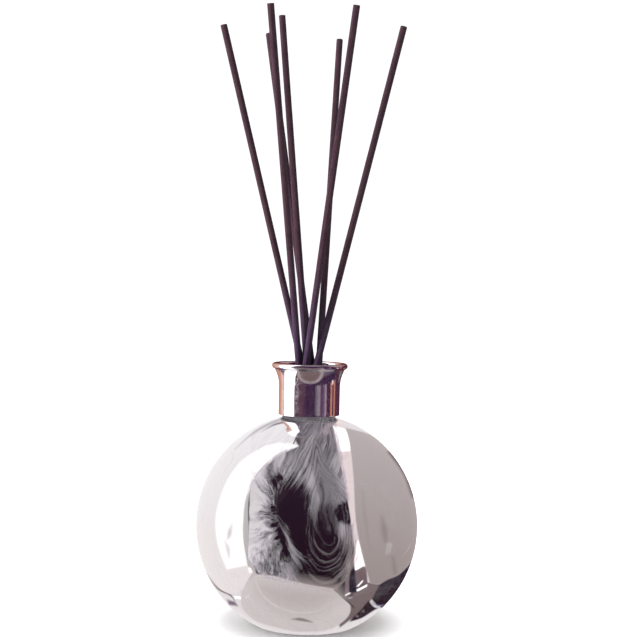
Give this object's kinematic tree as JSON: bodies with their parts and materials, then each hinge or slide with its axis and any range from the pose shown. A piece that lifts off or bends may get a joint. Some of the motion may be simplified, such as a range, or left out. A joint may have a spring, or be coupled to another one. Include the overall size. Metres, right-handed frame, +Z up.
{
  "type": "reed diffuser",
  "caption": "Fragrance reed diffuser: a silvered art-glass sphere bottle with a flared metal neck collar, holding a fan of dark fibre reeds that lift out.",
  "frame": {"origin": "centre of the flat base that the bottle stands on", "axes": "+Z up along the bottle's axis, -Y towards the viewer's side of the picture"},
  "size_m": [0.1, 0.1, 0.2762],
  "materials": {
    "silvered_glass": "glossy clear glass over a silvered back with milky grey enamel wisps",
    "collar_metal": "polished",
    "liner_plastic": "matt moulded",
    "reed_fibre": "dyed fibre, matt, square cut ends"
  },
  "bodies": {
    "bottle": {"glass_bottle": "silvered_glass", "neck_collar": "collar_metal", "collar_liner": "liner_plastic"},
    "reed_1": {"reed_1": "reed_fibre"},
    "reed_2": {"reed_2": "reed_fibre"},
    "reed_3": {"reed_3": "reed_fibre"},
    "reed_4": {"reed_4": "reed_fibre"},
    "reed_5": {"reed_5": "reed_fibre"},
    "reed_6": {"reed_6": "reed_fibre"},
    "reed_7": {"reed_7": "reed_fibre"}
  },
  "joints": [
    {"name": "reed_1_lift", "type": "slide", "parent": "bottle", "child": "reed_1", "axis": [-0.244, -0.0036, 0.9698], "range_m": [0, 0.12]},
    {"name": "reed_2_lift", "type": "slide", "parent": "bottle", "child": "reed_2", "axis": [-0.0945, -0.1617, 0.9823], "range_m": [0, 0.12]},
    {"name": "reed_3_lift", "type": "slide", "parent": "bottle", "child": "reed_3", "axis": [-0.091, 0.0653, 0.9937], "range_m": [0, 0.12]},
    {"name": "reed_4_lift", "type": "slide", "parent": "bottle", "child": "reed_4", "axis": [-0.1481, 0.1572, 0.9764], "range_m": [0, 0.12]},
    {"name": "reed_5_lift", "type": "slide", "parent": "bottle", "child": "reed_5", "axis": [0.0442, 0.2225, 0.9739], "range_m": [0, 0.12]},
    {"name": "reed_6_lift", "type": "slide", "parent": "bottle", "child": "reed_6", "axis": [0.1188, -0.1005, 0.9878], "range_m": [0, 0.12]},
    {"name": "reed_7_lift", "type": "slide", "parent": "bottle", "child": "reed_7", "axis": [0.2303, 0.0378, 0.9724], "range_m": [0, 0.12]}
  ]
}
